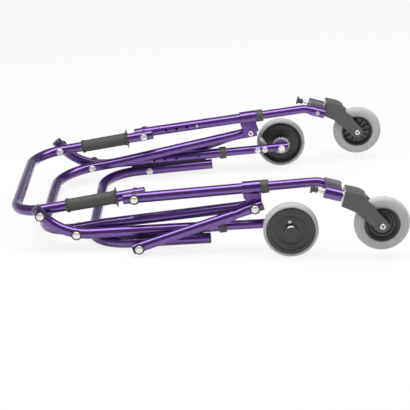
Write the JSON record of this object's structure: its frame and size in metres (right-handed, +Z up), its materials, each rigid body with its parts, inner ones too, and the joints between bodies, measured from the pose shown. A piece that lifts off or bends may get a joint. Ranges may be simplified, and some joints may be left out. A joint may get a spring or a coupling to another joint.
{
  "type": "folding posterior walker",
  "caption": "Folding posterior walker of purple tube: handle bar with grips, crossbars, telescoping legs, swivel casters in front and ratchet wheels behind.",
  "frame": {"origin": "centre of the bounding box in plan, on the floor under the folded walker", "axes": "+X from the crossbars towards the wheels along the folded legs, +Y towards the user's left, +Z up as it lies folded"},
  "size_m": [0.93, 0.7676, 0.18],
  "materials": {
    "bright_steel": "bright nickel-plated steel",
    "dark_plastic": "matte dark grey plastic",
    "fork_plastic": "fine-grained dark grey plastic",
    "grip_rubber": "soft matte charcoal rubber",
    "hub_plastic": "satin near-black plastic",
    "inner_tube": "clear-coated metallic purple, slightly lighter",
    "purple_casting": "grey-purple painted casting",
    "purple_tube": "clear-coated metallic purple over aluminium tube",
    "tyre": "matte light grey tread rubber"
  },
  "bodies": {
    "rear_frame": {"lower_crossbar": "purple_tube", "rear_leg_left": "purple_tube", "rear_collar_left": "dark_plastic", "handle_rear_bolt_left": "bright_steel", "middle_bolt_left": "bright_steel", "brace_bolt_left": "bright_steel", "rear_leg_right": "purple_tube", "rear_collar_right": "dark_plastic", "handle_rear_bolt_right": "bright_steel", "middle_bolt_right": "bright_steel", "brace_bolt_right": "bright_steel"},
    "middle_bar": {"middle_crossbar": "purple_tube", "bracket_bolt_left": "bright_steel", "bracket_bolt_right": "bright_steel"},
    "handle": {"handle_bar": "purple_tube", "grip_left": "grip_rubber", "handle_front_bolt_left": "bright_steel", "grip_right": "grip_rubber", "handle_front_bolt_right": "bright_steel"},
    "front_leg_left": {"front_leg_left": "purple_tube", "front_bracket_left": "purple_tube", "front_collar_left": "dark_plastic"},
    "front_extension_left": {"front_extension_left": "inner_tube", "caster_head_left": "purple_casting"},
    "front_button_left": {"front_button_left": "bright_steel"},
    "swivel_lock_left": {"swivel_plunger_left": "dark_plastic"},
    "fork_left": {"caster_fork_left": "fork_plastic", "front_axle_left": "bright_steel"},
    "front_wheel_left": {"front_tyre_left": "tyre", "front_hub_left": "hub_plastic"},
    "rear_extension_left": {"rear_extension_left": "inner_tube", "rear_axle_left": "bright_steel"},
    "rear_button_left": {"rear_button_left": "bright_steel"},
    "rear_wheel_left": {"rear_tyre_left": "tyre", "rear_hub_left": "hub_plastic", "ratchet_wheel_left": "bright_steel"},
    "pawl_left": {"ratchet_pawl_left": "bright_steel"},
    "brace_tube_left": {"brace_tube_left": "purple_tube"},
    "brace_rod_left": {"brace_rod_left": "inner_tube"},
    "front_leg_right": {"front_leg_right": "purple_tube", "front_bracket_right": "purple_tube", "front_collar_right": "dark_plastic"},
    "front_extension_right": {"front_extension_right": "inner_tube", "caster_head_right": "purple_casting"},
    "front_button_right": {"front_button_right": "bright_steel"},
    "swivel_lock_right": {"swivel_plunger_right": "dark_plastic"},
    "fork_right": {"caster_fork_right": "fork_plastic", "front_axle_right": "bright_steel"},
    "front_wheel_right": {"front_tyre_right": "tyre", "front_hub_right": "hub_plastic"},
    "rear_extension_right": {"rear_extension_right": "inner_tube", "rear_axle_right": "bright_steel"},
    "rear_button_right": {"rear_button_right": "bright_steel"},
    "rear_wheel_right": {"rear_tyre_right": "tyre", "rear_hub_right": "hub_plastic", "ratchet_wheel_right": "bright_steel"},
    "pawl_right": {"ratchet_pawl_right": "bright_steel"},
    "brace_tube_right": {"brace_tube_right": "purple_tube"},
    "brace_rod_right": {"brace_rod_right": "inner_tube"}
  },
  "joints": [
    {"name": "middle_bar_fold", "type": "hinge", "parent": "rear_frame", "child": "middle_bar", "pos_m": [-0.30113, 0, 0.0432], "axis": [0, -1, 0], "range_deg": [0, 68]},
    {"name": "handle_fold", "type": "hinge", "parent": "rear_frame", "child": "handle", "pos_m": [-0.38271, 0, 0.09219], "axis": [0, -1, 0], "range_deg": [0, 98]},
    {"name": "front_leg_fold_left", "type": "hinge", "parent": "middle_bar", "child": "front_leg_left", "pos_m": [0.11601, 0.27992, 0.10806], "axis": [0, -1, 0], "range_deg": [-33, 0]},
    {"name": "brace_swing_left", "type": "hinge", "parent": "rear_frame", "child": "brace_tube_left", "pos_m": [-0.15405, 0.2965, 0.01842], "axis": [0, -1, 0], "range_deg": [0, 79]},
    {"name": "brace_slide_left", "type": "slide", "parent": "brace_tube_left", "child": "brace_rod_left", "axis": [0.9488, 0.0246, 0.3149], "range_m": [0, 0.156]},
    {"name": "front_height_left", "type": "slide", "parent": "front_leg_left", "child": "front_extension_left", "axis": [0.992, 0.0877, 0.0909], "range_m": [-0.054, 0.027]},
    {"name": "front_button_press_left", "type": "slide", "parent": "front_leg_left", "child": "front_button_left", "axis": [0, 1, 0], "range_m": [0, 0.003], "stiffness_N_per_m": 400},
    {"name": "swivel_lock_pull_left", "type": "slide", "parent": "front_extension_left", "child": "swivel_lock_left", "axis": [-0.9602, 0, 0.2792], "range_m": [0, 0.008], "stiffness_N_per_m": 600},
    {"name": "caster_swivel_left", "type": "hinge", "parent": "front_extension_left", "child": "fork_left", "pos_m": [0.31394, 0.355, 0.1488], "axis": [0.9602, 0, -0.2792], "continuous": true},
    {"name": "front_wheel_spin_left", "type": "hinge", "parent": "fork_left", "child": "front_wheel_left", "pos_m": [0.40148, 0.355, 0.08168], "axis": [0, 1, 0], "continuous": true},
    {"name": "rear_height_left", "type": "slide", "parent": "rear_frame", "child": "rear_extension_left", "axis": [0.9971, 0.0579, 0.0485], "range_m": [0, 0.029]},
    {"name": "rear_button_press_left", "type": "slide", "parent": "rear_frame", "child": "rear_button_left", "axis": [0, 1, 0], "range_m": [0, 0.003], "stiffness_N_per_m": 400},
    {"name": "rear_wheel_spin_left", "type": "hinge", "parent": "rear_extension_left", "child": "rear_wheel_left", "pos_m": [0.19617, 0.329, 0.0635], "axis": [0, 1, 0], "continuous": true},
    {"name": "pawl_lift_left", "type": "hinge", "parent": "rear_extension_left", "child": "pawl_left", "pos_m": [0.15222, 0.29695, 0.06136], "axis": [0, -1, 0], "range_deg": [0, 25]},
    {"name": "front_leg_fold_right", "type": "hinge", "parent": "middle_bar", "child": "front_leg_right", "pos_m": [0.11601, -0.27992, 0.10806], "axis": [0, -1, 0], "range_deg": [-33, 0]},
    {"name": "brace_swing_right", "type": "hinge", "parent": "rear_frame", "child": "brace_tube_right", "pos_m": [-0.15405, -0.2965, 0.01842], "axis": [0, -1, 0], "range_deg": [0, 79]},
    {"name": "brace_slide_right", "type": "slide", "parent": "brace_tube_right", "child": "brace_rod_right", "axis": [0.9488, -0.0246, 0.3149], "range_m": [0, 0.156]},
    {"name": "front_height_right", "type": "slide", "parent": "front_leg_right", "child": "front_extension_right", "axis": [0.992, -0.0877, 0.0909], "range_m": [-0.054, 0.027]},
    {"name": "front_button_press_right", "type": "slide", "parent": "front_leg_right", "child": "front_button_right", "axis": [0, -1, 0], "range_m": [0, 0.003], "stiffness_N_per_m": 400},
    {"name": "swivel_lock_pull_right", "type": "slide", "parent": "front_extension_right", "child": "swivel_lock_right", "axis": [-0.9602, 0, 0.2792], "range_m": [0, 0.008], "stiffness_N_per_m": 600},
    {"name": "caster_swivel_right", "type": "hinge", "parent": "front_extension_right", "child": "fork_right", "pos_m": [0.31394, -0.355, 0.1488], "axis": [0.9602, 0, -0.2792], "continuous": true},
    {"name": "front_wheel_spin_right", "type": "hinge", "parent": "fork_right", "child": "front_wheel_right", "pos_m": [0.40148, -0.355, 0.08168], "axis": [0, 1, 0], "continuous": true},
    {"name": "rear_height_right", "type": "slide", "parent": "rear_frame", "child": "rear_extension_right", "axis": [0.9971, -0.0579, 0.0485], "range_m": [0, 0.029]},
    {"name": "rear_button_press_right", "type": "slide", "parent": "rear_frame", "child": "rear_button_right", "axis": [0, -1, 0], "range_m": [0, 0.003], "stiffness_N_per_m": 400},
    {"name": "rear_wheel_spin_right", "type": "hinge", "parent": "rear_extension_right", "child": "rear_wheel_right", "pos_m": [0.19617, -0.329, 0.0635], "axis": [0, 1, 0], "continuous": true},
    {"name": "pawl_lift_right", "type": "hinge", "parent": "rear_extension_right", "child": "pawl_right", "pos_m": [0.15222, -0.29695, 0.06136], "axis": [0, -1, 0], "range_deg": [0, 25]}
  ],
  "couplings": [
    {"joint": "handle_fold", "follows": "middle_bar_fold", "ratio": 1.426},
    {"joint": "front_leg_fold_left", "follows": "middle_bar_fold", "ratio": -0.48024},
    {"joint": "brace_swing_left", "follows": "middle_bar_fold", "ratio": 1.1516},
    {"joint": "brace_slide_left", "follows": "middle_bar_fold", "m_per_rad": 0.12998},
    {"joint": "front_leg_fold_right", "follows": "middle_bar_fold", "ratio": -0.48024},
    {"joint": "brace_swing_right", "follows": "middle_bar_fold", "ratio": 1.1516},
    {"joint": "brace_slide_right", "follows": "middle_bar_fold", "m_per_rad": 0.12998}
  ]
}
